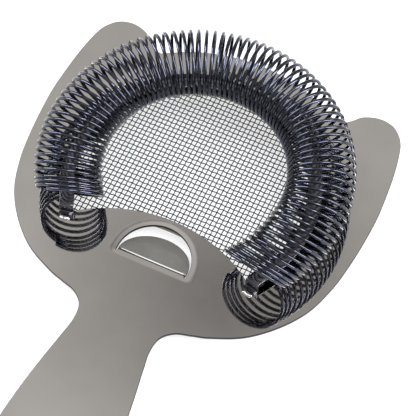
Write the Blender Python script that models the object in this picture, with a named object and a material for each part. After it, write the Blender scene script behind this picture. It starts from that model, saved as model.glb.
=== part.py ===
"""Hawthorne strainer: a stamped plate with a finger tab, a woven mesh window and a C-shaped coil spring.

The strainer lies on its back, so the spring side faces +Z. X runs across, +Y is the front and
the handle points to -Y. The origin is the bottom centre of the whole object. Lengths below are
in millimetres in a drawing frame (origin on the head's centre line, z = 0 on the plate's spring
side) and every mesh is moved to the final frame when it is made.
"""

import math

import bmesh
import bpy
from mathutils import Vector
from mathutils.geometry import tessellate_polygon

MM = 0.001

# stamped plate
PLATE_THICK = 1.0
HEAD_RADIUS = 50.8
HEAD_CENTRE_Y = 1.6
HANDLE_END_Y = -108.0
# half of the outline after the front arc, as (x, y): notch beside the ear, ear, side, lower head,
# neck and the widening handle
NOTCH = [(28.8, 43.5), (31.2, 44.0), (33.4, 45.7), (36.2, 48.5)]
EAR = [(41.0, 50.0), (45.7, 49.0), (49.1, 45.4), (50.7, 40.7)]
SIDE = [(51.9, 33.0), (52.6, 24.0), (52.8, 17.0), (52.3, 8.0), (51.3, -1.0), (49.8, -9.0)]
LOWER_HEAD = [(46.7, -18.0), (41.3, -26.0), (33.8, -32.9), (25.2, -37.2), (20.2, -38.8)]
NECK = [(15.6, -40.3), (12.5, -43.4), (11.8, -48.0), (12.6, -53.5)]
HANDLE = [(14.3, -63.5), (15.6, -73.0), (16.5, -83.0), (16.9, -92.0), (15.6, -100.0)]
HANDLE_TIP = [(11.0, -105.8), (5.0, -107.7), (0.0, HANDLE_END_Y)]
STEPS_PER_SPAN = 4
FRONT_ARC_STEPS = 10
# angle left between the front arc's last point and the notch's first, in degrees
NOTCH_LEAD = 3.0

# window for the mesh: a circle whose handle side is bounded by an arc that bulges into it
WINDOW_RADIUS = 34.8
WINDOW_CENTRE_Y = 3.4
LOBE_RADIUS = 46.0
LOBE_CENTRE_Y = -54.2
WINDOW_STEPS = 72
LOBE_STEPS = 24

# finger tab, lanced on three sides and bent to the back
TAB_HALF_WIDTH = 11.0
TAB_FLANK = 1.4
TAB_BEND_Y = -23.2
TAB_GAP = 0.35
TAB_ANGLE = math.radians(25.0)
TAB_ROOT = 0.15
TAB_SINK = 0.06
TAB_STEPS = 24

# woven mesh, as two crossing layers of parallel wires, each with its pressed rim
WIRE_PITCH_X = 1.40
WIRE_PITCH_Y = 1.50
MESH_WIRE = 0.32
MESH_OVERLAP = 2.4
MESH_RIM = 1.3
STACK_GAP = 0.03
SCAN_STEP = 0.05

# frame that holds the mesh against the plate's back
FRAME_WIDTH = 2.6
FRAME_THICK = 0.8

# retainer strip that the spring is threaded on
STRIP_RADIUS = 36.0
STRIP_CENTRE_Y = 3.8
STRIP_WIDTH = 4.2
STRIP_THICK = 0.7
STRIP_HEIGHT = 3.2
STRIP_END_ANGLE = 213.0
STRIP_SEGMENTS = 54
# each end of the strip turns level with the last turn, then steps down to a foot on the plate
FOOT_FACING = 192.0
FOOT_AWAY = 2.2
FOOT_LENGTH = 2.0
FOOT_BEND = 0.2
FOOT_CLEAR = 0.04

# spring
COIL_RADIUS = 9.5
COIL_WIRE = 1.05
COIL_CLEAR = 0.1
PATH_RADIUS = 36.3
PATH_CENTRE_X = 0.4
PATH_CENTRE_Y = 5.5
PATH_END_ANGLE = 218.3
FAN_FULL = math.radians(92.0)
FAN_SHARE_RIGHT = 0.33
FAN_SHARE_LEFT = 0.52
LEAN_START = math.radians(30.0)
LEAN_END = math.radians(28.0)
OPEN_TURNS = 74.4
END_TURNS = 3
END_PITCH = 1.36
START_ANGLE = math.radians(162.0)
SEGMENTS_PER_TURN = 10
WIRE_SIDES = 5
TANGENT_STEP = 0.02

# weld beads at the strip's feet
BEAD_HALF_WIDTH = 1.6
BEAD_HALF_LENGTH = 0.8
BEAD_HEIGHT = 0.7
BEAD_SIDES = 12
BEAD_RINGS = 3

FRONT_Y = HEAD_CENTRE_Y + HEAD_RADIUS
TAB_LENGTH = TAB_HALF_WIDTH + TAB_FLANK - TAB_GAP
TAB_DROP = TAB_LENGTH * math.sin(TAB_ANGLE) + PLATE_THICK * math.cos(TAB_ANGLE) + TAB_SINK
SHIFT = Vector((0.0, -(FRONT_Y + HANDLE_END_Y) / 2, TAB_DROP))


def clear_scene():
    for obj in list(bpy.data.objects):
        bpy.data.objects.remove(obj, do_unlink=True)


def material(name, colour, metallic, roughness):
    mat = bpy.data.materials.new(name)
    mat.use_nodes = True
    shader = mat.node_tree.nodes["Principled BSDF"]
    shader.inputs["Base Color"].default_value = (*colour, 1.0)
    shader.inputs["Metallic"].default_value = metallic
    shader.inputs["Roughness"].default_value = roughness
    return mat


def make_object(name, verts, faces, mat):
    """A mesh object from drawing coordinates in millimetres."""
    mesh = bpy.data.meshes.new(name)
    mesh.from_pydata([(Vector(v) + SHIFT) * MM for v in verts], [], faces)
    bm = bmesh.new()
    bm.from_mesh(mesh)
    bmesh.ops.recalc_face_normals(bm, faces=bm.faces)
    bm.to_mesh(mesh)
    bm.free()
    mesh.materials.append(mat)
    obj = bpy.data.objects.new(name, mesh)
    bpy.context.scene.collection.objects.link(obj)
    return obj


def prism(loops, z_low, z_high):
    """Vertices and faces of a sheet cut to loops[0], with the other loops as holes."""
    flat = [[Vector((x, y, 0.0)) for x, y in loop] for loop in loops]
    caps = tessellate_polygon(flat)
    points = [p for loop in loops for p in loop]
    count = len(points)
    verts = [(x, y, z_low) for x, y in points]
    verts += [(x, y, z_high) for x, y in points]
    faces = [tuple(tri) for tri in caps]
    faces += [tuple(i + count for i in reversed(tri)) for tri in caps]
    start = 0
    for loop in loops:
        for i in range(len(loop)):
            a = start + i
            b = start + (i + 1) % len(loop)
            faces.append((a, b, b + count, a + count))
        start += len(loop)
    return verts, faces


def arc(centre, radius, start, end, steps):
    """Points on a circle from angle start to angle end, in degrees."""
    out = []
    for i in range(steps + 1):
        angle = math.radians(start + (end - start) * i / steps)
        out.append((centre[0] + radius * math.cos(angle), centre[1] + radius * math.sin(angle)))
    return out


def spline(points, steps):
    """A Catmull-Rom curve through the points, with its ends included."""
    out = []
    last = len(points) - 1
    for i in range(last):
        p1 = Vector(points[i])
        p2 = Vector(points[i + 1])
        p0 = Vector(points[i - 1]) if i > 0 else p1 * 2 - p2
        p3 = Vector(points[i + 2]) if i + 2 <= last else p2 * 2 - p1
        for k in range(steps):
            t = k / steps
            q = p1 * 2 + (p2 - p0) * t
            q += (p0 * 2 - p1 * 5 + p2 * 4 - p3) * t * t
            q += (p1 * 3 - p0 - p2 * 3 + p3) * t * t * t
            out.append((q.x / 2, q.y / 2))
    out.append(points[-1])
    return out


def plate_outline():
    """The whole outline, from the front middle down one side and up the other."""
    notch_angle = math.degrees(math.atan2(NOTCH[0][1] - HEAD_CENTRE_Y, NOTCH[0][0]))
    front = arc((0.0, HEAD_CENTRE_Y), HEAD_RADIUS, 90.0, notch_angle + NOTCH_LEAD, FRONT_ARC_STEPS)
    stations = NOTCH + EAR + SIDE + LOWER_HEAD + NECK + HANDLE + HANDLE_TIP
    half = front + spline(stations, STEPS_PER_SPAN)
    mirror = [(-x, y) for x, y in reversed(half[1:-1])]
    return half + mirror


def window_outline(offset):
    """The window's edge moved outwards by offset."""
    radius = WINDOW_RADIUS + offset
    lobe = LOBE_RADIUS - offset
    gap = WINDOW_CENTRE_Y - LOBE_CENTRE_Y
    y = (radius ** 2 - lobe ** 2 + LOBE_CENTRE_Y ** 2 - WINDOW_CENTRE_Y ** 2) / (-2 * gap)
    x = math.sqrt(radius ** 2 - (y - WINDOW_CENTRE_Y) ** 2)
    start = math.degrees(math.atan2(y - WINDOW_CENTRE_Y, x))
    side = math.degrees(math.atan2(y - LOBE_CENTRE_Y, x))
    round_part = arc((0.0, WINDOW_CENTRE_Y), radius, start, 180.0 - start, WINDOW_STEPS)
    lobe_part = arc((0.0, LOBE_CENTRE_Y), lobe, 180.0 - side, side, LOBE_STEPS)
    return round_part + lobe_part[1:-1]


def tab_outline(margin):
    """The tab's D shape about its bend line, made smaller by margin on its free sides."""
    half = TAB_HALF_WIDTH - margin
    top = arc((0.0, TAB_FLANK), half, 0.0, 180.0, TAB_STEPS)
    return [(half, 0.0)] + top + [(-half, 0.0)]


def plate(mat):
    hole = [(x, y + TAB_BEND_Y) for x, y in tab_outline(0.0)]
    loops = [plate_outline(), window_outline(0.0), hole]
    verts, faces = prism(loops, -PLATE_THICK, 0.0)
    obj = make_object("strainer_plate", verts, faces, mat)
    verts, faces = prism([tab_outline(TAB_GAP)], -PLATE_THICK, 0.0)
    cos_a = math.cos(TAB_ANGLE)
    sin_a = math.sin(TAB_ANGLE)
    bent = []
    for x, y, z in verts:
        bent_y = y * cos_a + z * sin_a + TAB_BEND_Y - TAB_ROOT
        bent.append((x, bent_y, z * cos_a - y * sin_a - TAB_SINK))
    flap = make_object("tab_shape", bent, faces, mat)
    flap.hide_render = True
    flap.display_type = "WIRE"
    join = obj.modifiers.new("join_tab", "BOOLEAN")
    join.operation = "UNION"
    join.solver = "EXACT"
    join.object = flap
    return obj


def in_window(point, offset):
    x, y = point
    inside_circle = math.hypot(x, y - WINDOW_CENTRE_Y) < WINDOW_RADIUS + offset
    return inside_circle and math.hypot(x, y - LOBE_CENTRE_Y) > LOBE_RADIUS - offset


def line_spans(place, along_y, offset):
    """Every stretch of a line inside the window: two where the lobe cuts it in half."""
    half = int((WINDOW_RADIUS + MESH_OVERLAP) / SCAN_STEP) + 2
    spans = []
    start = None
    for i in range(-half, half + 1):
        run = WINDOW_CENTRE_Y + i * SCAN_STEP if along_y else i * SCAN_STEP
        point = (place, run) if along_y else (run, place)
        if in_window(point, offset):
            start = run if start is None else start
        elif start is not None:
            spans.append((start, run - SCAN_STEP))
            start = None
    return spans


def shared_spans(edges, along_y):
    """The stretches that a slot's two long edges both have inside the pressed rim."""
    offset = MESH_OVERLAP - MESH_RIM
    first = line_spans(edges[0], along_y, offset)
    second = line_spans(edges[1], along_y, offset)
    return [(max(a[0], b[0]), min(a[1], b[1])) for a in first for b in second]


def mesh_layer(name, along_y, pitch, z_high, mat):
    """One layer: the slots between its wires are cut out of a thin sheet."""
    loops = [window_outline(MESH_OVERLAP)]
    half_gap = (pitch - MESH_WIRE) / 2
    reach = WINDOW_RADIUS + MESH_OVERLAP - MESH_RIM
    count = int(reach / pitch) + 1
    middle = 0.0 if along_y else WINDOW_CENTRE_Y
    for i in range(-count, count):
        place = middle + (i + 0.5) * pitch
        edges = (place - half_gap, place + half_gap)
        for low, high in shared_spans(edges, along_y):
            if high - low < pitch:
                continue
            corners = [(edges[0], low), (edges[1], low), (edges[1], high), (edges[0], high)]
            loops.append(corners if along_y else [(y, x) for x, y in corners])
    verts, faces = prism(loops, z_high - MESH_WIRE, z_high)
    return make_object(name, verts, faces, mat)


def mesh_frame(z_high, mat):
    loops = [window_outline(FRAME_WIDTH), window_outline(0.0)]
    verts, faces = prism(loops, z_high - FRAME_THICK, z_high)
    return make_object("mesh_frame", verts, faces, mat)


def sweep(sections, mat, name):
    """A closed body through a list of rings with equal numbers of points."""
    sides = len(sections[0])
    verts = [p for ring in sections for p in ring]
    faces = [tuple(range(sides)), tuple(range(len(verts) - sides, len(verts)))]
    for i in range(len(sections) - 1):
        for k in range(sides):
            a = i * sides + k
            b = i * sides + (k + 1) % sides
            faces.append((a, b, b + sides, a + sides))
    return make_object(name, verts, faces, mat)


def strip_section(low, high, outward):
    """A cross-section from the points on the middle of the strip's underside and top."""
    half = outward * (STRIP_WIDTH / 2)
    return [low - half, low + half, high + half, high - half]


def strip_place(angle_degrees):
    """A point of the C's middle line at the strip's underside, and its outward direction."""
    angle = math.radians(angle_degrees)
    outward = Vector((math.cos(angle), math.sin(angle), 0.0))
    return Vector((0.0, STRIP_CENTRE_Y, STRIP_HEIGHT)) + outward * STRIP_RADIUS, outward


def foot_frame(side):
    """Start of a foot at plate level, its outward direction and the way it runs."""
    place, _ = strip_place(STRIP_END_ANGLE)
    facing = math.radians(FOOT_FACING)
    along = math.radians((STRIP_END_ANGLE + FOOT_FACING) / 2)
    x = place.x - math.sin(along) * FOOT_AWAY
    y = place.y + math.cos(along) * FOOT_AWAY
    start = Vector((-side * x, y, 0.0))
    outward = Vector((-side * math.cos(facing), math.sin(facing), 0.0))
    ahead = Vector((side * math.sin(facing), math.cos(facing), 0.0))
    return start, outward, ahead


def foot_sections(side):
    """The step down from the strip's level to the plate and the foot that lies on it."""
    start, outward, ahead = foot_frame(side)
    top = STRIP_HEIGHT + STRIP_THICK
    thick = STRIP_THICK
    # (distance ahead, height) of the inner and the outer surface at each section
    pairs = [
        ((0.0, STRIP_HEIGHT), (0.0, top)),
        ((FOOT_BEND, STRIP_HEIGHT - FOOT_BEND), (thick + FOOT_BEND, top - FOOT_BEND)),
        ((FOOT_BEND, FOOT_CLEAR), (thick + FOOT_BEND, thick + FOOT_CLEAR)),
        ((FOOT_LENGTH, FOOT_CLEAR), (FOOT_LENGTH, thick + FOOT_CLEAR)),
    ]
    sections = []
    for inner, outer in pairs:
        low = start + ahead * inner[0] + Vector((0.0, 0.0, inner[1]))
        high = start + ahead * outer[0] + Vector((0.0, 0.0, outer[1]))
        sections.append(strip_section(low, high, outward))
    return sections


def retainer(mat):
    sections = foot_sections(1)[::-1]
    up = Vector((0.0, 0.0, STRIP_THICK))
    for i in range(STRIP_SEGMENTS + 1):
        turn = (180.0 - STRIP_END_ANGLE) + (2 * STRIP_END_ANGLE - 180.0) * i / STRIP_SEGMENTS
        place, outward = strip_place(turn)
        sections.append(strip_section(place, place + up, outward))
    sections += foot_sections(-1)
    return sweep(sections, mat, "spring_retainer")


def fan_angle(theta):
    """Direction a turn faces. Turns are radial, but near the ends they stay almost parallel."""
    off = theta - math.pi / 2
    extra = max(abs(off) - FAN_FULL, 0.0)
    share = FAN_SHARE_LEFT if off > 0 else FAN_SHARE_RIGHT
    size = min(abs(off), FAN_FULL) + extra * share
    return math.pi / 2 + math.copysign(size, off)


def lean_angle(theta):
    """How far a turn's top leans towards the coil's nearer end."""
    end = math.radians(PATH_END_ANGLE - 90.0)
    share = (abs(theta - math.pi / 2) - LEAN_START) / (end - LEAN_START)
    return LEAN_END * max(share, 0.0)


def coil_point(turns):
    """Wire centre and its direction from the coil's middle, some turns from the right end."""
    reach = math.radians(2 * PATH_END_ANGLE - 180.0)
    length = reach * PATH_RADIUS
    end_length = END_TURNS * END_PITCH
    open_pitch = (length - 2 * end_length) / OPEN_TURNS
    if turns < END_TURNS:
        run = turns * END_PITCH
    elif turns > END_TURNS + OPEN_TURNS:
        run = length - (2 * END_TURNS + OPEN_TURNS - turns) * END_PITCH
    else:
        run = end_length + (turns - END_TURNS) * open_pitch
    theta = run / PATH_RADIUS + math.pi - math.radians(PATH_END_ANGLE)
    held = (length - 2 * end_length) / PATH_RADIUS / 2
    facing = math.pi / 2 + max(min(theta - math.pi / 2, held), -held)
    fan = fan_angle(facing)
    lean = lean_angle(facing)
    centre_z = COIL_CLEAR + COIL_WIRE / 2 + COIL_RADIUS * math.cos(lean)
    x = PATH_CENTRE_X + PATH_RADIUS * math.cos(theta)
    y = PATH_CENTRE_Y + PATH_RADIUS * math.sin(theta)
    outward = Vector((math.cos(fan), math.sin(fan), 0.0))
    side = math.copysign(1.0, theta - math.pi / 2)
    to_end = Vector((-math.sin(fan), math.cos(fan), 0.0)) * side
    rise = Vector((0.0, 0.0, 1.0)) * math.cos(lean) + to_end * math.sin(lean)
    turn = 2 * math.pi * turns + START_ANGLE
    spoke = outward * math.cos(turn) - rise * math.sin(turn)
    return Vector((x, y, centre_z)) + spoke * COIL_RADIUS, spoke


def spring(mat):
    total = 2 * END_TURNS + OPEN_TURNS
    steps = round(total * SEGMENTS_PER_TURN)
    sections = []
    for i in range(steps + 1):
        turns = i / SEGMENTS_PER_TURN
        place, spoke = coil_point(turns)
        after, _ = coil_point(min(turns + TANGENT_STEP, total))
        before, _ = coil_point(max(turns - TANGENT_STEP, 0.0))
        tangent = (after - before).normalized()
        across = tangent.cross(spoke).normalized()
        normal = across.cross(tangent)
        ring = []
        for k in range(WIRE_SIDES):
            angle = 2 * math.pi * k / WIRE_SIDES
            offset = normal * math.cos(angle) + across * math.sin(angle)
            ring.append(place + offset * (COIL_WIRE / 2))
        sections.append(ring)
    return sweep(sections, mat, "spring_coil")


def bead(name, side, mat):
    """A low dome of weld metal on the plate, along a foot's end."""
    start, outward, ahead = foot_frame(side)
    centre = start + ahead * (FOOT_LENGTH + BEAD_HALF_LENGTH + STACK_GAP)
    verts = []
    for ring in range(BEAD_RINGS):
        lift = math.pi / 2 * ring / BEAD_RINGS
        for k in range(BEAD_SIDES):
            angle = 2 * math.pi * k / BEAD_SIDES
            wide = outward * (BEAD_HALF_WIDTH * math.cos(lift) * math.cos(angle))
            long = ahead * (BEAD_HALF_LENGTH * math.cos(lift) * math.sin(angle))
            up = Vector((0.0, 0.0, STACK_GAP + BEAD_HEIGHT * math.sin(lift)))
            verts.append(centre + wide + long + up)
    verts.append(centre + Vector((0.0, 0.0, STACK_GAP + BEAD_HEIGHT)))
    faces = [tuple(range(BEAD_SIDES))]
    for ring in range(BEAD_RINGS - 1):
        for k in range(BEAD_SIDES):
            a = ring * BEAD_SIDES + k
            b = ring * BEAD_SIDES + (k + 1) % BEAD_SIDES
            faces.append((a, b, b + BEAD_SIDES, a + BEAD_SIDES))
    last_ring = (BEAD_RINGS - 1) * BEAD_SIDES
    for k in range(BEAD_SIDES):
        faces.append((last_ring + k, last_ring + (k + 1) % BEAD_SIDES, len(verts) - 1))
    return make_object(name, verts, faces, mat)


def build():
    clear_scene()
    gunmetal = material("gunmetal_plate", (0.30, 0.29, 0.275), 1.0, 0.22)
    wire = material("gunmetal_wire", (0.05, 0.052, 0.065), 1.0, 0.25)
    mesh_mat = material("mesh_wire", (0.20, 0.20, 0.20), 1.0, 0.35)
    weld = material("weld_metal", (0.45, 0.44, 0.42), 1.0, 0.4)
    plate(gunmetal)
    first = -PLATE_THICK - STACK_GAP
    second = first - MESH_WIRE - STACK_GAP
    mesh_layer("mesh_warp", True, WIRE_PITCH_X, first, mesh_mat)
    mesh_layer("mesh_weft", False, WIRE_PITCH_Y, second, mesh_mat)
    mesh_frame(second - MESH_WIRE - STACK_GAP, gunmetal)
    retainer(gunmetal)
    spring(wire)
    bead("weld_left", -1, weld)
    bead("weld_right", 1, weld)


build()
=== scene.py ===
"""Hawthorne strainer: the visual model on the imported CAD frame."""

import math

import bmesh
import bpy
from mathutils import Matrix, Vector, noise
from mathutils.geometry import delaunay_2d_cdt

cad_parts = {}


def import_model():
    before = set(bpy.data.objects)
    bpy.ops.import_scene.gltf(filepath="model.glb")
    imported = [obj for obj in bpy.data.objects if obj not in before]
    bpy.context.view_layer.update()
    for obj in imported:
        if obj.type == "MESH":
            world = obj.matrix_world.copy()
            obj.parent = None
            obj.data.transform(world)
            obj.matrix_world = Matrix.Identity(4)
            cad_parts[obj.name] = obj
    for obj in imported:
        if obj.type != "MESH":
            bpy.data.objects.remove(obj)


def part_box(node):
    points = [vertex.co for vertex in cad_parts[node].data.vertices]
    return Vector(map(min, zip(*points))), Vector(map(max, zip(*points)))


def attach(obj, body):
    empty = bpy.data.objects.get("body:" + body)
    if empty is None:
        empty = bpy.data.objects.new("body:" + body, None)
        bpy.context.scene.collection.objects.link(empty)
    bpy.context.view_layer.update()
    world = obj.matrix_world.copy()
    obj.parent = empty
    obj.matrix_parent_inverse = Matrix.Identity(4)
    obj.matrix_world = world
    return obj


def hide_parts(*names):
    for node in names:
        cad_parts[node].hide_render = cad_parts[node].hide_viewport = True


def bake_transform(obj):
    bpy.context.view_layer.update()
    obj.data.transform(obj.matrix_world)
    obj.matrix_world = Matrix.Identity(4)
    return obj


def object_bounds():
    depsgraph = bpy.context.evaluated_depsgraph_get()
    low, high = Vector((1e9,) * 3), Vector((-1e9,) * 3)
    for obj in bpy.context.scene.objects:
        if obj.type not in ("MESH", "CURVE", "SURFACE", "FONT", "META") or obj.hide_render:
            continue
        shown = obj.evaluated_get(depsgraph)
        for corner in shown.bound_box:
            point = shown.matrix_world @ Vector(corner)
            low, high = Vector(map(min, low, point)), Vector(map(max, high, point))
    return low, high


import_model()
cad_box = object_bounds()

# Lengths are millimetres in a drawing frame: origin on the head's centre line, z = 0 on the
# plate's spring side, +Y to the front. SHIFT moves them to the frame of the CAD model.
MM = 0.001
UP = Vector((0.0, 0.0, 1.0))
HEAD_RADIUS = 50.8
HEAD_CENTRE_Y = 1.6
PLATE_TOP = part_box("strainer_plate")[1]
SHIFT = Vector((0.0, PLATE_TOP.y / MM - HEAD_CENTRE_Y - HEAD_RADIUS, PLATE_TOP.z / MM))

# ---- plate ----
PLATE_THICK = 1.0
NOTCH = [(28.8, 43.5), (31.2, 44.0), (33.4, 45.7), (36.2, 48.5)]
EAR = [(41.0, 50.0), (45.7, 49.0), (49.1, 45.4), (50.7, 40.7)]
SIDE = [(51.9, 33.0), (52.6, 24.0), (52.8, 17.0), (52.3, 8.0), (51.3, -1.0), (49.8, -9.0)]
LOWER_HEAD = [(46.7, -18.0), (41.3, -26.0), (33.8, -32.9), (25.2, -37.2), (20.2, -38.8)]
NECK = [(15.6, -40.3), (12.5, -43.4), (11.8, -48.0), (12.6, -53.5)]
HANDLE = [(14.3, -63.5), (15.6, -73.0), (16.5, -83.0), (16.9, -92.0), (15.6, -100.0)]
HANDLE_TIP = [(11.0, -105.8), (5.0, -107.7), (0.0, -108.0)]
WINDOW_RADIUS = 34.8
WINDOW_CENTRE_Y = 3.4
LOBE_RADIUS = 46.0
LOBE_CENTRE_Y = -54.2
NOTCH_JOIN = 0.7  # degrees left free between the front arc and the notch's first station
FRONT_STEPS = 48
SPLINE_STEPS = 12
WINDOW_STEPS = 216

# ---- finger tab ----
TAB_HALF_WIDTH = 11.0
TAB_FLANK = 1.4
TAB_BEND_Y = -23.2
SLIT = 0.35
SLIT_HOOK = 0.45
TAB_ROUND = 0.1
HALO_WIDTH = 2.2
HALO_SLOPE = math.radians(4.0)
HALO_RIM_SLOPE = math.radians(1.5)
BEND_SLOW = 0.45
BEND_END = 1.1
SLOW_TILT = math.radians(10.5)
FLAP_TILT = math.radians(24.4)
FLAP_LENGTH = 14.0
FLAP_STEP = 0.02
TAB_ARC_STEPS = 72
HALO_FALL_SHARE = 0.72  # of the halo's width, where the plate starts to fall to the D
HALO_RIDGE_SHARE = 0.35  # of the halo's width, for the height of the ridge round it

# what is shaped about the tab: half width, lowest y and highest y
ZONE_HALF_WIDTH = 15.0
ZONE_LOW_Y = -28.0
ZONE_HIGH_Y = -7.0

# extra points there, in rows from the bend line: under it, over the bend and over the flap
BEND_ROWS = [0.0, 0.08, 0.16, 0.24, 0.32, 0.4, 0.48, 0.56, 0.64, 0.72, 0.8, 0.9, 1.0, 1.12]
ROWS = [-3.0 + k * 0.42 for k in range(9)] + BEND_ROWS + [1.3 + k * 0.55 for k in range(24)]
COLUMNS = [-14.4 + k * 0.6 for k in range(49)]
RINGS = [-0.36 * k for k in range(1, 7)]
RING_STEPS = 60
CUT_CLEAR = 0.22
OUTLINE_CLEAR = 0.5
GRID_LOBE_CLEAR = 0.6
RING_LOBE_CLEAR = 0.35

# the flap's tilted face, given a rougher satin copy of the plate metal whose darker colour is
# painted shade
SATIN_SHADE_START = 0.6
SATIN_SHADE_END = 12.0
SATIN_SHADE_DEPTH = 0.2
SATIN_SHADE_STEEPEST = 0.5
SATIN_SHADE_FLATTEST = math.cos(FLAP_TILT) + 0.02

# ---- mesh ----
WIRE_PITCH_X = 1.40
WIRE_PITCH_Y = 1.50
MESH_WIRE = 0.32
MESH_OVERLAP = 2.2
WEAVE = 0.165
WEAVE_STEPS = 4
MESH_SIDES = 6
MESH_MIDDLE = -1.365
WIRE_DRIFT = 0.03
SPAN_STEP = 0.05
SPAN_MARGIN = 1.0
SHORTEST_SPAN = 1.0

# ---- frame on the back ----
FRAME_WIDTH = 2.6
FRAME_THICK = 0.8
FRAME_TOP = -1.73
FRAME_ROUND = 0.2

# ---- retainer strip ----
STRIP_RADIUS = 36.0
STRIP_CENTRE_Y = 3.8
STRIP_WIDTH = 4.2
STRIP_THICK = 0.7
STRIP_HEIGHT = 3.2
STRIP_END_ANGLE = 213.0
STRIP_STEPS = 200
STRIP_CORNER = 0.16
STRIP_SHARP = math.radians(50.0)
FOOT_FACING = 192.0
FOOT_AWAY = 2.2
FOOT_LENGTH = 2.0
FOOT_BEND = 0.55
FOOT_CLEAR = 0.04
FOOT_STEPS = 8

# ---- spring ----
COIL_RADIUS = 9.5
COIL_WIRE = 1.05
COIL_CLEAR = 0.1
PATH_RADIUS = 36.3
PATH_CENTRE_X = 0.4
PATH_CENTRE_Y = 5.5
PATH_END_ANGLE = 218.3
FAN_FULL = math.radians(92.0)
FAN_SHARE_RIGHT = 0.33
FAN_SHARE_LEFT = 0.52
LEAN_START = math.radians(30.0)
LEAN_END = math.radians(28.0)
OPEN_TURNS = 74.4
END_TURNS = 3
END_PITCH = 1.36
START_ANGLE = math.radians(162.0)
SEGMENTS_PER_TURN = 30
WIRE_SIDES = 10
TURN_JITTER = 0.06
JITTER_RATE = 0.9
JITTER_FADE = 4.0

# ---- weld beads ----
BEAD_HALF_WIDTH = 1.6
BEAD_HALF_LENGTH = 0.8
BEAD_HEIGHT = 0.7
BEAD_SEAT = 0.02
BEAD_FULLNESS = 0.8
BEAD_LUMP = 0.13
BEAD_LUMP_RATE = 1.9
BEAD_RINGS = 8
BEAD_SIDES = 32


def place(v):
    return (Vector(v) + SHIFT) * MM


# =============================== curves ===============================
def arc(centre, radius, start, end, steps):
    out = []
    for i in range(steps + 1):
        a = math.radians(start + (end - start) * i / steps)
        out.append((centre[0] + radius * math.cos(a), centre[1] + radius * math.sin(a)))
    return out


def spline(points, steps):
    out = []
    last = len(points) - 1
    for i in range(last):
        p1 = Vector(points[i])
        p2 = Vector(points[i + 1])
        p0 = Vector(points[i - 1]) if i > 0 else p1 * 2 - p2
        p3 = Vector(points[i + 2]) if i + 2 <= last else p2 * 2 - p1
        for k in range(steps):
            t = k / steps
            q = p1 * 2 + (p2 - p0) * t
            q += (p0 * 2 - p1 * 5 + p2 * 4 - p3) * t * t
            q += (p1 * 3 - p0 - p2 * 3 + p3) * t * t * t
            out.append((q.x / 2, q.y / 2))
    out.append(points[-1])
    return out


def plate_outline():
    notch_angle = math.degrees(math.atan2(NOTCH[0][1] - HEAD_CENTRE_Y, NOTCH[0][0]))
    end = notch_angle + NOTCH_JOIN
    front = arc((0.0, HEAD_CENTRE_Y), HEAD_RADIUS, 90.0, end, FRONT_STEPS)
    stations = NOTCH + EAR + SIDE + LOWER_HEAD + NECK + HANDLE + HANDLE_TIP
    half = front + spline(stations, SPLINE_STEPS)
    return half + [(-x, y) for x, y in reversed(half[1:-1])]


def window_outline(offset):
    """The mesh window, made larger by offset on every side."""
    radius = WINDOW_RADIUS + offset
    lobe = LOBE_RADIUS - offset
    gap = WINDOW_CENTRE_Y - LOBE_CENTRE_Y
    y = (radius ** 2 - lobe ** 2 + LOBE_CENTRE_Y ** 2 - WINDOW_CENTRE_Y ** 2) / (-2 * gap)
    x = math.sqrt(radius ** 2 - (y - WINDOW_CENTRE_Y) ** 2)
    start = math.degrees(math.atan2(y - WINDOW_CENTRE_Y, x))
    side = math.degrees(math.atan2(y - LOBE_CENTRE_Y, x))
    round_part = arc((0.0, WINDOW_CENTRE_Y), radius, start, 180.0 - start, WINDOW_STEPS)
    lobe_part = arc((0.0, LOBE_CENTRE_Y), lobe, 180.0 - side, side, WINDOW_STEPS // 3)
    return round_part + lobe_part[1:-1]


def in_window(x, y, offset):
    inside_circle = math.hypot(x, y - WINDOW_CENTRE_Y) < WINDOW_RADIUS + offset
    return inside_circle and math.hypot(x, y - LOBE_CENTRE_Y) > LOBE_RADIUS - offset


def signed_area(loop):
    total = 0.0
    for i, (x, y) in enumerate(loop):
        nx, ny = loop[(i + 1) % len(loop)]
        total += x * ny - nx * y
    return total / 2


def offset_loop(loop, distance):
    """The loop moved to its left by distance at every point."""
    out = []
    n = len(loop)
    for i in range(n):
        a = Vector(loop[i - 1])
        b = Vector(loop[i])
        c = Vector(loop[(i + 1) % n])
        d1 = (b - a).normalized()
        d2 = (c - b).normalized()
        n1 = Vector((-d1.y, d1.x))
        n2 = Vector((-d2.y, d2.x))
        mid = (n1 + n2).normalized()
        cut = max(mid.dot(n1), 0.5)
        p = b + mid * (distance / cut)
        out.append((p.x, p.y))
    return out


def inside(point, loop):
    x, y = point
    hit = False
    j = len(loop) - 1
    for i in range(len(loop)):
        xi, yi = loop[i]
        xj, yj = loop[j]
        if (yi > y) != (yj > y) and x < (xj - xi) * (y - yi) / (yj - yi) + xi:
            hit = not hit
        j = i
    return hit


def distance_to(point, loop):
    p = Vector(point)
    best = 1e9
    for i in range(len(loop)):
        a = Vector(loop[i])
        b = Vector(loop[(i + 1) % len(loop)])
        ab = b - a
        t = max(0.0, min(1.0, (p - a).dot(ab) / max(ab.length_squared, 1e-12)))
        best = min(best, (p - a - ab * t).length)
    return best


# =============================== mesh helpers ===============================
def link_object(name, data):
    obj = bpy.data.objects.new(name, data)
    bpy.context.scene.collection.objects.link(obj)
    return obj


def make_object(name, verts, faces, mats):
    mesh = bpy.data.meshes.new(name)
    mesh.from_pydata([place(v) for v in verts], [], faces)
    for m in mats:
        mesh.materials.append(m)
    mesh.shade_smooth()
    return link_object(name, mesh)


def face_outwards(obj):
    bm = bmesh.new()
    bm.from_mesh(obj.data)
    bmesh.ops.recalc_face_normals(bm, faces=bm.faces)
    bm.to_mesh(obj.data)
    bm.free()


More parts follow.
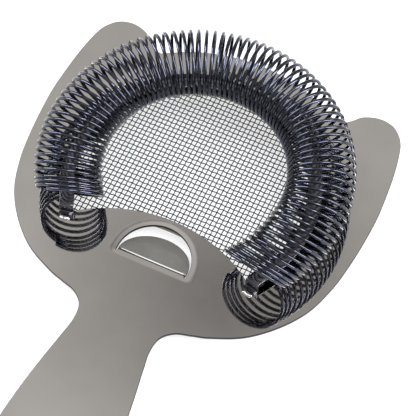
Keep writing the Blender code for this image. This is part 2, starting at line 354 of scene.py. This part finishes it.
def triangulate(flat, extra):
    """Points and triangles of a face between loops, and where each loop point went."""
    points = [Vector(p) for lp in flat for p in lp]
    edges = []
    start = 0
    for lp in flat:
        n = len(lp)
        edges += [(start + i, start + (i + 1) % n) for i in range(n)]
        start += n
    total = start
    points += [Vector(p) for p in extra]
    co, _, tris, origin, _, _ = delaunay_2d_cdt(points, edges, [], 1, 1e-6)
    kept = []
    for tri in tris:
        mid = sum((co[i] for i in tri), Vector((0.0, 0.0))) / 3
        if inside(mid, flat[0]) and not any(inside(mid, lp) for lp in flat[1:]):
            kept.append(tuple(tri))
    back = {}
    for i, source in enumerate(origin):
        for s in source:
            if s < total:
                back[s] = i
    return co, kept, back


def sheet(name, loops, top, thick, rounding, extra, shape, mats):
    """A flat sheet with rounded cut edges. loops[0] is the outline and the others are holes.

    extra holds more points for the two faces and shape moves a point of the flat sheet.
    The cut edges take the second material where there is one."""
    loops = [lp if (signed_area(lp) > 0) == (i == 0) else lp[::-1] for i, lp in enumerate(loops)]
    cut = rounding * (1 - math.sqrt(0.5))
    profile = [(cut, cut), (0.0, rounding), (0.0, thick - rounding), (cut, thick - cut)]
    co, kept, back = triangulate([offset_loop(lp, rounding) for lp in loops], extra)
    count = len(co)
    verts = [shape(x, y, top) for x, y in co] + [shape(x, y, top - thick) for x, y in co]
    faces = []
    slot = []
    sides = []
    for tri in kept:
        a, b, d = (co[i] for i in tri)
        up = (b - a).cross(d - a) > 0
        tri = tri if up else tri[::-1]
        faces.append(tri)
        faces.append(tuple(i + count for i in reversed(tri)))
        slot += [0, 0]
    start = 0
    for lp in loops:
        n = len(lp)
        rings = [[back[start + i] for i in range(n)]]
        for inset, depth in profile:
            ring = []
            for x, y in offset_loop(lp, inset):
                ring.append(len(verts))
                verts.append(shape(x, y, top - depth))
            rings.append(ring)
        rings.append([back[start + i] + count for i in range(n)])
        for r in range(len(rings) - 1):
            for i in range(n):
                j = (i + 1) % n
                faces.append((rings[r][j], rings[r][i], rings[r + 1][i], rings[r + 1][j]))
                slot.append(1)
        for i in range(n):
            j = (i + 1) % n
            sides.append((rings[0][i], rings[0][j]))
            sides.append((rings[-1][i], rings[-1][j]))
        start += n
    obj = make_object(name, verts, faces, mats)
    if len(mats) > 1:
        obj.data.polygons.foreach_set("material_index", slot)
    sharp = {frozenset(e) for e in sides}
    for e in obj.data.edges:
        if frozenset(e.vertices) in sharp:
            e.use_edge_sharp = True
    return obj


def tube(verts, faces, points, radius, sides):
    """Adds a closed round tube through the points."""
    first = len(verts)
    n = len(points)
    normal = None
    for i, p in enumerate(points):
        a = points[max(i - 1, 0)]
        b = points[min(i + 1, n - 1)]
        tangent = (b - a).normalized()
        if normal is None:
            normal = (UP - tangent * UP.dot(tangent)).normalized()
        else:
            normal = (normal - tangent * normal.dot(tangent)).normalized()
        across = tangent.cross(normal)
        for k in range(sides):
            t = 2 * math.pi * k / sides
            verts.append(p + (normal * math.cos(t) + across * math.sin(t)) * radius)
    for i in range(n - 1):
        for k in range(sides):
            a = first + i * sides + k
            b = first + i * sides + (k + 1) % sides
            faces.append((a, b, b + sides, a + sides))
    faces.append(tuple(reversed(range(first, first + sides))))
    faces.append(tuple(range(first + (n - 1) * sides, first + n * sides)))


# =============================== materials ===============================
GRAIN_SIZE = 0.15


def node_material(name):
    mat = bpy.data.materials.new(name)
    mat.use_nodes = True
    return mat, mat.node_tree.nodes, mat.node_tree.links


def noise_field(nodes, links, size_mm, detail):
    """A noise with features of a given size; gives its output."""
    coords = nodes.new("ShaderNodeTexCoord")
    field = nodes.new("ShaderNodeTexNoise")
    field.inputs["Scale"].default_value = 1.0 / (size_mm * MM)
    field.inputs["Detail"].default_value = detail
    links.new(coords.outputs["Object"], field.inputs["Vector"])
    return field.outputs["Fac"]


def map_range(nodes, links, source, old, new):
    """The source's range old spread over the range new; gives the output."""
    spread = nodes.new("ShaderNodeMapRange")
    for socket, value in zip(("From Min", "From Max", "To Min", "To Max"), old + new):
        spread.inputs[socket].default_value = value
    links.new(source, spread.inputs["Value"])
    return spread.outputs["Result"]


def bump(nodes, links, height, depth_mm):
    """A bump of a given depth; gives its node."""
    relief = nodes.new("ShaderNodeBump")
    relief.inputs["Strength"].default_value = 1.0
    relief.inputs["Distance"].default_value = depth_mm * MM
    links.new(height, relief.inputs["Height"])
    return relief


def metal(name, dark, light, rough, rough_spread, blotch_mm, wave_mm, wave_height, grain=0.0):
    """Plated metal with slow colour and gloss changes, a faint waviness and optional grain."""
    mat, nodes, links = node_material(name)
    shader = nodes["Principled BSDF"]
    shader.inputs["Metallic"].default_value = 1.0
    ramp = nodes.new("ShaderNodeValToRGB")
    low, high = ramp.color_ramp.elements
    low.position = 0.35
    low.color = (*dark, 1.0)
    high.position = 0.65
    high.color = (*light, 1.0)
    links.new(noise_field(nodes, links, blotch_mm, 4.0), ramp.inputs["Fac"])
    links.new(ramp.outputs["Color"], shader.inputs["Base Color"])
    fine = noise_field(nodes, links, blotch_mm / 4, 6.0)
    gloss = map_range(nodes, links, fine, (0.3, 0.7), (rough, rough + rough_spread))
    links.new(gloss, shader.inputs["Roughness"])
    last = bump(nodes, links, noise_field(nodes, links, wave_mm, 2.0), wave_height)
    if grain:
        second = bump(nodes, links, noise_field(nodes, links, GRAIN_SIZE, 3.0), grain)
        links.new(last.outputs["Normal"], second.inputs["Normal"])
        last = second
    links.new(last.outputs["Normal"], shader.inputs["Normal"])
    return mat


PLATE_FACE = metal("gunmetal_face", (0.42, 0.402, 0.372), (0.45, 0.432, 0.402), 0.035, 0.03,
                   14.0, 22.0, 0.012)
# rougher cut edges; their near-black colour is painted shade that darkens the slit, the gap
# round the tab and the plate's rims
PLATE_EDGE_PAINTED_SHADE = metal("gunmetal_cut_edge_painted_shade", (0.018, 0.018, 0.022), (0.03, 0.03, 0.035), 0.28, 0.1,
                   2.0, 1.2, 0.01)
STRIP_METAL = metal("gunmetal_strip", (0.10, 0.10, 0.11), (0.14, 0.14, 0.15), 0.09, 0.05,
                    6.0, 6.0, 0.01)
# the flap's copy of the plate metal: rougher (satin), and darker by painted shade
TAB_SATIN_AND_SHADE = metal("gunmetal_tab_satin_painted_shade", (0.31, 0.298, 0.276), (0.34, 0.328, 0.306), 0.6, 0.08,
                  6.0, 8.0, 0.01)
FRAME_METAL = metal("gunmetal_frame", (0.34, 0.33, 0.31), (0.40, 0.385, 0.36), 0.1, 0.08,
                    5.0, 8.0, 0.012)
SPRING_METAL = metal("blue_black_wire", (0.052, 0.054, 0.072), (0.075, 0.078, 0.102), 0.07, 0.05,
                     3.0, 2.0, 0.004)
MESH_METAL = metal("woven_wire", (0.03, 0.03, 0.034), (0.05, 0.05, 0.055), 0.25, 0.1,
                   1.5, 1.0, 0.002)
WELD_METAL = metal("weld_bead", (0.5, 0.49, 0.47), (0.66, 0.65, 0.62), 0.22, 0.2,
                   0.8, 0.5, 0.03, 0.01)


# =============================== plate and tab ===============================
def d_outline(margin, steps):
    """The lanced D about the bend line, from its right end over the arc to its left end."""
    half = TAB_HALF_WIDTH - margin
    top = arc((0.0, TAB_FLANK), half, 0.0, 180.0, steps)
    return [(x, y + TAB_BEND_Y) for x, y in top]


def slit_outline():
    """The narrow cut round the flap, with a small hook at each end of the bend."""
    hook_y = TAB_BEND_Y - SLIT_HOOK
    outer = d_outline(0.0, TAB_ARC_STEPS)
    inner = d_outline(SLIT, TAB_ARC_STEPS)
    half = TAB_HALF_WIDTH
    right = [(half - SLIT * 0.15, TAB_BEND_Y - SLIT_HOOK * 0.4), (half - SLIT * 0.6, hook_y)]
    right_in = [(half - SLIT * 1.3, hook_y + SLIT_HOOK * 0.25), (half - SLIT * 1.25, TAB_BEND_Y)]
    left = [(-x, y) for x, y in right]
    left_in = [(-x, y) for x, y in right_in]
    return outer + left + left_in + inner[::-1] + right_in[::-1] + right[::-1]


def flap_profile():
    """(y, z, tilt) of the flap's face at even steps of length from the bend line."""
    y = 0.0
    z = -halo_dip(0.0)
    table = []
    for i in range(int(FLAP_LENGTH / FLAP_STEP)):
        s = i * FLAP_STEP
        if s < BEND_SLOW:
            tilt = HALO_SLOPE + (SLOW_TILT - HALO_SLOPE) * s / BEND_SLOW
        elif s < BEND_END:
            t = (s - BEND_SLOW) / (BEND_END - BEND_SLOW)
            tilt = SLOW_TILT + (FLAP_TILT - SLOW_TILT) * t
        else:
            tilt = FLAP_TILT
        table.append((y, z, tilt))
        y += math.cos(tilt) * FLAP_STEP
        z -= math.sin(tilt) * FLAP_STEP
    return table


def halo_dip(distance):
    """How far the plate is drawn in at a distance from the lanced D."""
    if distance >= HALO_WIDTH:
        return 0.0
    fall = max(HALO_WIDTH * HALO_FALL_SHARE - distance, 0.0) * math.tan(HALO_SLOPE)
    height = math.tan(HALO_RIM_SLOPE) * HALO_WIDTH * HALO_RIDGE_SHARE
    t = distance / HALO_WIDTH
    return fall - height * math.sin(math.pi * t) ** 2 * t


def d_loop(margin):
    """The D with the bend line as its straight side."""
    corner = TAB_HALF_WIDTH
    return [(corner, TAB_BEND_Y)] + d_outline(margin, TAB_ARC_STEPS) + [(-corner, TAB_BEND_Y)]


PROFILE = flap_profile()
D_LOOP = d_loop(0.0)
D_INNER = d_loop(SLIT / 2)


def plate_shape(x, y, z):
    """Where a point of the flat sheet goes: down with the flap or in with the halo."""
    if abs(x) > ZONE_HALF_WIDTH or y > ZONE_HIGH_Y or y < ZONE_LOW_Y:
        return Vector((x, y, z))
    s = y - TAB_BEND_Y
    if s > 0 and inside((x, y), D_INNER):
        at = min(s / FLAP_STEP, len(PROFILE) - 2)
        i = int(at)
        t = at - i
        a, b = PROFILE[i], PROFILE[i + 1]
        py = a[0] + (b[0] - a[0]) * t
        pz = a[1] + (b[1] - a[1]) * t
        tilt = a[2] + (b[2] - a[2]) * t
        return Vector((x, TAB_BEND_Y + py + z * math.sin(tilt), pz + z * math.cos(tilt)))
    d = distance_to((x, y), D_LOOP)
    return Vector((x, y, z - halo_dip(d)))


def lobe_distance(point):
    return math.hypot(point[0], point[1] - LOBE_CENTRE_Y)


def tab_points(loops):
    """Extra points for the plate's faces: a fine grid over the tab and its surroundings."""
    outline, _, slit = loops
    out = []
    for row in ROWS:
        for x in COLUMNS:
            p = (x, TAB_BEND_Y + row)
            if lobe_distance(p) > LOBE_RADIUS - GRID_LOBE_CLEAR:
                continue
            if distance_to(p, slit) < CUT_CLEAR or distance_to(p, outline) < OUTLINE_CLEAR:
                continue
            out.append(p)
    return out


def ring_points(loops):
    """Rings of points that follow the lanced D, where the plate is drawn in."""
    out = []
    for margin in RINGS:
        for p in d_outline(margin, RING_STEPS):
            near_lobe = lobe_distance(p) > LOBE_RADIUS - RING_LOBE_CLEAR
            if not near_lobe and distance_to(p, loops[2]) > CUT_CLEAR:
                out.append(p)
    return out


def plate():
    loops = [plate_outline(), window_outline(0.0), slit_outline()]
    extra = tab_points(loops) + ring_points(loops)
    # the cut edges take the near-black metal of painted shade
    obj = sheet("strainer_plate_visual", loops, 0.0, PLATE_THICK, TAB_ROUND, extra, plate_shape,
                [PLATE_FACE, PLATE_EDGE_PAINTED_SHADE, TAB_SATIN_AND_SHADE])
    # faces of the flap tilted at its angle take the satin copy, which is darker by painted shade
    for face in obj.data.polygons:
        c = face.center / MM - SHIFT
        along = TAB_BEND_Y + SATIN_SHADE_START < c.y < TAB_BEND_Y + SATIN_SHADE_END
        on_tab = along and abs(c.x) < TAB_HALF_WIDTH and c.z < -SATIN_SHADE_DEPTH
        tilted = SATIN_SHADE_STEEPEST < face.normal.z < SATIN_SHADE_FLATTEST
        if on_tab and tilted and face.material_index == 0:
            face.material_index = 2
    return obj


# =============================== mesh ===============================
def wire_spans(place_at, along_y):
    """Stretches of a mesh wire that lie inside the window and its overlap."""
    reach = WINDOW_RADIUS + MESH_OVERLAP + SPAN_MARGIN
    count = int(2 * reach / SPAN_STEP)
    spans = []
    start = None
    for i in range(count + 1):
        run = -reach + i * SPAN_STEP
        x, y = (place_at, WINDOW_CENTRE_Y + run) if along_y else (run, place_at)
        here = y if along_y else x
        if in_window(x, y, MESH_OVERLAP):
            start = here if start is None else start
            last = here
        elif start is not None:
            if last - start > SHORTEST_SPAN:
                spans.append((start, last))
            start = None
    return spans


def woven(name, along_y):
    """All the wires of one direction, each over and under the wires that cross it."""
    verts = []
    faces = []
    pitch = WIRE_PITCH_X if along_y else WIRE_PITCH_Y
    other = WIRE_PITCH_Y if along_y else WIRE_PITCH_X
    middle = 0.0 if along_y else WINDOW_CENTRE_Y
    base = WINDOW_CENTRE_Y if along_y else 0.0
    sign = 1.0 if along_y else -1.0
    seed = 3.0 if along_y else 9.0
    count = int((WINDOW_RADIUS + MESH_OVERLAP) / pitch) + 1
    for i in range(-count, count + 1):
        at = middle + i * pitch
        flip = sign if i % 2 == 0 else -sign
        for low, high in wire_spans(at, along_y):
            steps = max(int((high - low) / other * WEAVE_STEPS), 2)
            points = []
            for k in range(steps + 1):
                run = low + (high - low) * k / steps
                z = MESH_MIDDLE + flip * WEAVE * math.cos(math.pi * (run - base) / other)
                drift = WIRE_DRIFT * noise.noise(Vector((run * 0.11, at * 0.7, seed)))
                points.append(Vector((at + drift, run, z) if along_y else (run, at + drift, z)))
            tube(verts, faces, points, MESH_WIRE / 2, MESH_SIDES)
    return make_object(name, verts, faces, [MESH_METAL])


# =============================== strip ===============================
def rounded_section(centre, outward, normal):
    """A flat bar's cross-section with small round corners."""
    half_w = STRIP_WIDTH / 2
    half_t = STRIP_THICK / 2
    r = STRIP_CORNER
    out = []
    for sx, sy, start in ((1, 1, 0), (-1, 1, 90), (-1, -1, 180), (1, -1, 270)):
        for k in range(3):
            a = math.radians(start + 45 * k)
            u = sx * (half_w - r) + r * math.cos(a)
            v = sy * (half_t - r) + r * math.sin(a)
            out.append(centre + outward * u + normal * v)
    return out


def strip_at(angle):
    """The middle of the strip at an angle in degrees, and its outward direction."""
    a = math.radians(angle)
    outward = Vector((math.cos(a), math.sin(a), 0.0))
    z = STRIP_HEIGHT + STRIP_THICK / 2
    return Vector((0.0, STRIP_CENTRE_Y, z)) + outward * STRIP_RADIUS, outward


def foot_frame(side):
    """Start of a foot, its outward direction and the way it runs."""
    p, _ = strip_at(STRIP_END_ANGLE)
    facing = math.radians(FOOT_FACING)
    along = math.radians((STRIP_END_ANGLE + FOOT_FACING) / 2)
    x = p.x - math.sin(along) * FOOT_AWAY
    y = p.y + math.cos(along) * FOOT_AWAY
    start = Vector((-side * x, y, 0.0))
    outward = Vector((-side * math.cos(facing), math.sin(facing), 0.0))
    ahead = Vector((side * math.sin(facing), math.cos(facing), 0.0))
    return start, outward, ahead


def foot_sections(side):
    """Sections down from the strip's end to the plate and forward over the foot."""
    start, outward, ahead = foot_frame(side)
    top = STRIP_HEIGHT + STRIP_THICK / 2
    low = FOOT_CLEAR + STRIP_THICK / 2
    r = FOOT_BEND
    path = []
    for k in range(FOOT_STEPS + 1):
        a = math.radians(90.0 * k / FOOT_STEPS)
        path.append((r * math.sin(a), top - r + r * math.cos(a), a))
    for k in range(FOOT_STEPS + 1):
        a = math.radians(90.0 - 90.0 * k / FOOT_STEPS)
        path.append((r + r - r * math.sin(a), low + r - r * math.cos(a), a))
    path.append((FOOT_LENGTH, low, 0.0))
    out = []
    for run, z, tilt in path:
        centre = start + ahead * run + UP * z
        normal = UP * math.cos(tilt) + ahead * math.sin(tilt)
        out.append(rounded_section(centre, outward, normal))
    return out


def retainer():
    sections = foot_sections(1)[::-1]
    first, last = 180.0 - STRIP_END_ANGLE, STRIP_END_ANGLE
    for i in range(STRIP_STEPS + 1):
        p, outward = strip_at(first + (last - first) * i / STRIP_STEPS)
        sections.append(rounded_section(p, outward, UP))
    sections += foot_sections(-1)
    verts = [p for s in sections for p in s]
    n = len(sections[0])
    faces = [tuple(range(n)), tuple(range(len(verts) - n, len(verts)))]
    for i in range(len(sections) - 1):
        for k in range(n):
            a = i * n + k
            b = i * n + (k + 1) % n
            faces.append((a, b, b + n, a + n))
    obj = make_object("retainer_strip_visual", verts, faces, [STRIP_METAL])
    face_outwards(obj)
    obj.data.set_sharp_from_angle(angle=STRIP_SHARP)
    return obj


# =============================== spring ===============================
def fan_angle(theta):
    """The direction of a turn's outer side, which turns less than the path near the ends."""
    off = theta - math.pi / 2
    extra = max(abs(off) - FAN_FULL, 0.0)
    share = FAN_SHARE_LEFT if off > 0 else FAN_SHARE_RIGHT
    size = min(abs(off), FAN_FULL) + extra * share
    return math.pi / 2 + math.copysign(size, off)


def lean_angle(theta):
    """How far a turn's top leans towards the coil's nearer end."""
    end = math.radians(PATH_END_ANGLE - 90.0)
    share = (abs(theta - math.pi / 2) - LEAN_START) / (end - LEAN_START)
    return LEAN_END * max(share, 0.0)


def coil_point(turns):
    """The wire's middle after a number of turns from the right end."""
    reach = math.radians(2 * PATH_END_ANGLE - 180.0)
    length = reach * PATH_RADIUS
    end_length = END_TURNS * END_PITCH
    open_pitch = (length - 2 * end_length) / OPEN_TURNS
    if turns < END_TURNS:
        run = turns * END_PITCH
    elif turns > END_TURNS + OPEN_TURNS:
        run = length - (2 * END_TURNS + OPEN_TURNS - turns) * END_PITCH
    else:
        run = end_length + (turns - END_TURNS) * open_pitch
    from_end = min(turns - END_TURNS, END_TURNS + OPEN_TURNS - turns)
    fade = max(min(from_end / JITTER_FADE, 1.0), 0.0)
    run += fade * TURN_JITTER * noise.noise(Vector((turns * JITTER_RATE, 5.0, 0.0)))
    theta = run / PATH_RADIUS + math.pi - math.radians(PATH_END_ANGLE)
    held = (length - 2 * end_length) / PATH_RADIUS / 2
    facing = math.pi / 2 + max(min(theta - math.pi / 2, held), -held)
    fan = fan_angle(facing)
    lean = lean_angle(facing)
    centre_z = COIL_CLEAR + COIL_WIRE / 2 + COIL_RADIUS * math.cos(lean)
    x = PATH_CENTRE_X + PATH_RADIUS * math.cos(theta)
    y = PATH_CENTRE_Y + PATH_RADIUS * math.sin(theta)
    outward = Vector((math.cos(fan), math.sin(fan), 0.0))
    side = math.copysign(1.0, theta - math.pi / 2)
    to_end = Vector((-math.sin(fan), math.cos(fan), 0.0)) * side
    rise = UP * math.cos(lean) + to_end * math.sin(lean)
    turn = 2 * math.pi * turns + START_ANGLE
    spoke = outward * math.cos(turn) - rise * math.sin(turn)
    return Vector((x, y, centre_z)) + spoke * COIL_RADIUS


def spring():
    total = 2 * END_TURNS + OPEN_TURNS
    steps = round(total * SEGMENTS_PER_TURN)
    points = [coil_point(total * i / steps) for i in range(steps + 1)]
    verts = []
    faces = []
    tube(verts, faces, points, COIL_WIRE / 2, WIRE_SIDES)
    return make_object("spring_coil_visual", verts, faces, [SPRING_METAL])


# =============================== weld beads ===============================
def bead(name, side):
    """A lumpy half-round bead in front of a foot."""
    start, outward, ahead = foot_frame(side)
    centre = start + ahead * (FOOT_LENGTH + BEAD_HALF_LENGTH + BEAD_SEAT)
    verts = []
    for ring in range(BEAD_RINGS):
        lift = math.pi / 2 * ring / BEAD_RINGS
        for k in range(BEAD_SIDES):
            a = 2 * math.pi * k / BEAD_SIDES
            p = outward * (BEAD_HALF_WIDTH * math.cos(lift) * math.cos(a))
            p += ahead * (BEAD_HALF_LENGTH * math.cos(lift) * math.sin(a))
            p += UP * (BEAD_HEIGHT * math.sin(lift) ** BEAD_FULLNESS)
            seed = Vector((side * 7.0, 2.0, 1.0))
            lump = 1.0 + BEAD_LUMP * noise.noise(p * BEAD_LUMP_RATE + seed)
            verts.append(centre + p * lump + UP * BEAD_SEAT)
    verts.append(centre + UP * (BEAD_SEAT + BEAD_HEIGHT))
    faces = [tuple(range(BEAD_SIDES))]
    last = (BEAD_RINGS - 1) * BEAD_SIDES
    for ring in range(0, last, BEAD_SIDES):
        for k in range(BEAD_SIDES):
            a = ring + k
            b = ring + (k + 1) % BEAD_SIDES
            faces.append((a, b, b + BEAD_SIDES, a + BEAD_SIDES))
    for k in range(BEAD_SIDES):
        faces.append((last + k, last + (k + 1) % BEAD_SIDES, len(verts) - 1))
    obj = make_object(name, verts, faces, [WELD_METAL])
    face_outwards(obj)
    return obj


def flat_shape(x, y, z):
    return Vector((x, y, z))


def build():
    body = plate()
    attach(body, "strainer")
    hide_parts("strainer_plate")
    warp = woven("mesh_warp_visual", True)
    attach(warp, "strainer")
    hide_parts("mesh_warp")
    weft = woven("mesh_weft_visual", False)
    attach(weft, "strainer")
    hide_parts("mesh_weft")
    ring = sheet("mesh_frame_visual", [window_outline(FRAME_WIDTH), window_outline(0.0)],
                 FRAME_TOP, FRAME_THICK, FRAME_ROUND, [], flat_shape, [FRAME_METAL])
    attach(ring, "strainer")
    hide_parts("mesh_frame")
    strip = retainer()
    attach(strip, "strainer")
    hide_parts("spring_retainer")
    for name, side in (("weld_left", -1), ("weld_right", 1)):
        obj = bead(name + "_visual", side)
        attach(obj, "strainer")
        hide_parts(name)
    coil = spring()
    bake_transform(coil)
    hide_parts("spring_coil")


# =============================== studio ===============================
FLOOR_SIZE = 6.0
FLOOR_GAP = 0.00005
FLOOR_GLOW = 1.35
FLOOR_TONES = (0.48, 0.5)
BACKDROP = 0.93

# the surroundings' colour by a direction's Z: at 0 and below, at 1 and between
SKY_ENDS = ((0.3, 0.303, 0.31), (1.25, 1.26, 1.3))
SKY = ((0.56, (0.28, 0.2772, 0.28)), (0.66, (0.22, 0.2178, 0.22)), (0.75, (0.08, 0.0816, 0.088)),
       (0.8, (0.78, 0.7722, 0.78)), (0.87, (0.84, 0.8316, 0.84)), (0.95, (0.95, 0.9405, 0.95)))

# a soft dark card above the back left of the set; ranges are distances from its direction
CARD_DIRECTION = Vector((-0.17, 0.414, 0.894))
CARD_EDGE, CARD_SHADE = (0.006, 0.135), (0.42, 1.0)
REACH_EDGE, REACH_SHADE = (0.3, 0.46), (1.0, 0.8)
ROOM_EDGE, ROOM_LIGHT = (0.55, 0.9), (0.0, 0.3)
ROOM_COLOUR = (0.97, 0.98, 1.0, 1.0)

LAMP_COLOUR = (0.93, 0.96, 1.0)

# name, place, target, width and height, brightness of the face
SOFTBOXES = (
    ("key", (0.25, -0.05, 0.85), (0.0, 0.03, 0.01), (0.55, 0.16), 14.0),
    ("left", (-0.72, 0.08, 0.5), (0.0, 0.03, 0.01), (0.25, 0.7), 14.0),
    ("right", (0.75, 0.1, 0.42), (0.0, 0.03, 0.01), (0.25, 0.7), 14.0),
    ("back", (-0.16, 0.78, 0.45), (0.0, 0.0, 0.0), (0.14, 0.3), 2.3),
)

CAMERA_SENSOR = 36.0
CAMERA_LENS = 135.9
CAMERA_NEAR = 0.01
CAMERA_PLACE = Vector((0.09842, -0.17976, 0.39992))
CAMERA_RIGHT = Vector((0.9069, 0.4212, 0.0118))
CAMERA_BACK = Vector((0.2008, -0.4567, 0.8666))


def floor():
    mat, nodes, links = node_material("floor_paper")
    shader = nodes["Principled BSDF"]
    shader.inputs["Roughness"].default_value = 0.9
    shader.inputs["Specular IOR Level"].default_value = 0.1
    shader.inputs["Emission Strength"].default_value = FLOOR_GLOW
    grain = nodes.new("ShaderNodeTexNoise")
    grain.inputs["Scale"].default_value = 40.0
    ramp = nodes.new("ShaderNodeValToRGB")
    for stop, tone in zip(ramp.color_ramp.elements, FLOOR_TONES):
        stop.color = (tone, tone, tone, 1.0)
    links.new(grain.outputs["Fac"], ramp.inputs["Fac"])
    links.new(ramp.outputs["Color"], shader.inputs["Base Color"])
    links.new(ramp.outputs["Color"], shader.inputs["Emission Color"])
    half = FLOOR_SIZE / 2
    z = cad_box[0].z - FLOOR_GAP
    mesh = bpy.data.meshes.new("studio_floor")
    corners = [(-half, -half, z), (half, -half, z), (half, half, z), (-half, half, z)]
    mesh.from_pydata(corners, [], [(0, 1, 2, 3)])
    mesh.materials.append(mat)
    obj = link_object("studio_floor", mesh)


def softbox(name, place_at, target, size, radiance):
    """A rectangular lamp with a given brightness of its face."""
    lamp = bpy.data.lights.new(name, "AREA")
    lamp.shape = "RECTANGLE"
    lamp.size, lamp.size_y = size
    lamp.energy = radiance * size[0] * size[1] * math.pi
    lamp.color = LAMP_COLOUR
    obj = link_object(name, lamp)
    obj.location = place_at
    direction = Vector(target) - Vector(place_at)
    obj.rotation_euler = direction.to_track_quat("-Z", "Y").to_euler()


def world():
    w = bpy.data.worlds.new("studio")
    bpy.context.scene.world = w
    w.use_nodes = True
    nodes, links = w.node_tree.nodes, w.node_tree.links
    coords = nodes.new("ShaderNodeTexCoord")
    split = nodes.new("ShaderNodeSeparateXYZ")
    links.new(coords.outputs["Generated"], split.inputs["Vector"])
    ramp = nodes.new("ShaderNodeValToRGB")
    stops = ramp.color_ramp.elements
    for at in (0, 1):
        stops[at].position = at
        stops[at].color = (*SKY_ENDS[at], 1.0)
    for at, colour in SKY:
        stops.new(at).color = (*colour, 1.0)
    links.new(split.outputs["Z"], ramp.inputs["Fac"])
    spot = nodes.new("ShaderNodeVectorMath")
    spot.operation = "DISTANCE"
    spot.inputs[1].default_value = CARD_DIRECTION
    links.new(coords.outputs["Generated"], spot.inputs[0])
    away = spot.outputs["Value"]
    both = nodes.new("ShaderNodeMath")
    both.operation = "MULTIPLY"
    links.new(map_range(nodes, links, away, CARD_EDGE, CARD_SHADE), both.inputs[0])
    links.new(map_range(nodes, links, away, REACH_EDGE, REACH_SHADE), both.inputs[1])
    sky = nodes["Background"]
    links.new(ramp.outputs["Color"], sky.inputs["Color"])
    links.new(both.outputs["Value"], sky.inputs["Strength"])
    room = nodes.new("ShaderNodeBackground")
    room.inputs["Color"].default_value = ROOM_COLOUR
    links.new(map_range(nodes, links, away, ROOM_EDGE, ROOM_LIGHT), room.inputs["Strength"])
    whole = nodes.new("ShaderNodeAddShader")
    links.new(sky.outputs["Background"], whole.inputs[0])
    links.new(room.outputs["Background"], whole.inputs[1])
    # the camera itself sees a plain pale backdrop
    backdrop = nodes.new("ShaderNodeBackground")
    backdrop.inputs["Color"].default_value = (BACKDROP, BACKDROP, BACKDROP, 1.0)
    path = nodes.new("ShaderNodeLightPath")
    mix = nodes.new("ShaderNodeMixShader")
    links.new(path.outputs["Is Camera Ray"], mix.inputs["Fac"])
    links.new(whole.outputs["Shader"], mix.inputs[1])
    links.new(backdrop.outputs["Background"], mix.inputs[2])
    links.new(mix.outputs["Shader"], nodes["World Output"].inputs["Surface"])


def camera():
    data = bpy.data.cameras.new("camera")
    data.sensor_width = CAMERA_SENSOR
    data.lens = CAMERA_LENS
    data.clip_start = CAMERA_NEAR
    obj = link_object("camera", data)
    back = CAMERA_BACK.normalized()
    up = back.cross(CAMERA_RIGHT.normalized()).normalized()
    turned = Matrix((up.cross(back), up, back)).transposed().to_4x4()
    turned.translation = CAMERA_PLACE
    obj.matrix_world = turned
    bpy.context.scene.camera = obj


camera()
build()
floor()
world()
for box in SOFTBOXES:
    softbox(*box)
bpy.context.scene.view_settings.view_transform = "Standard"
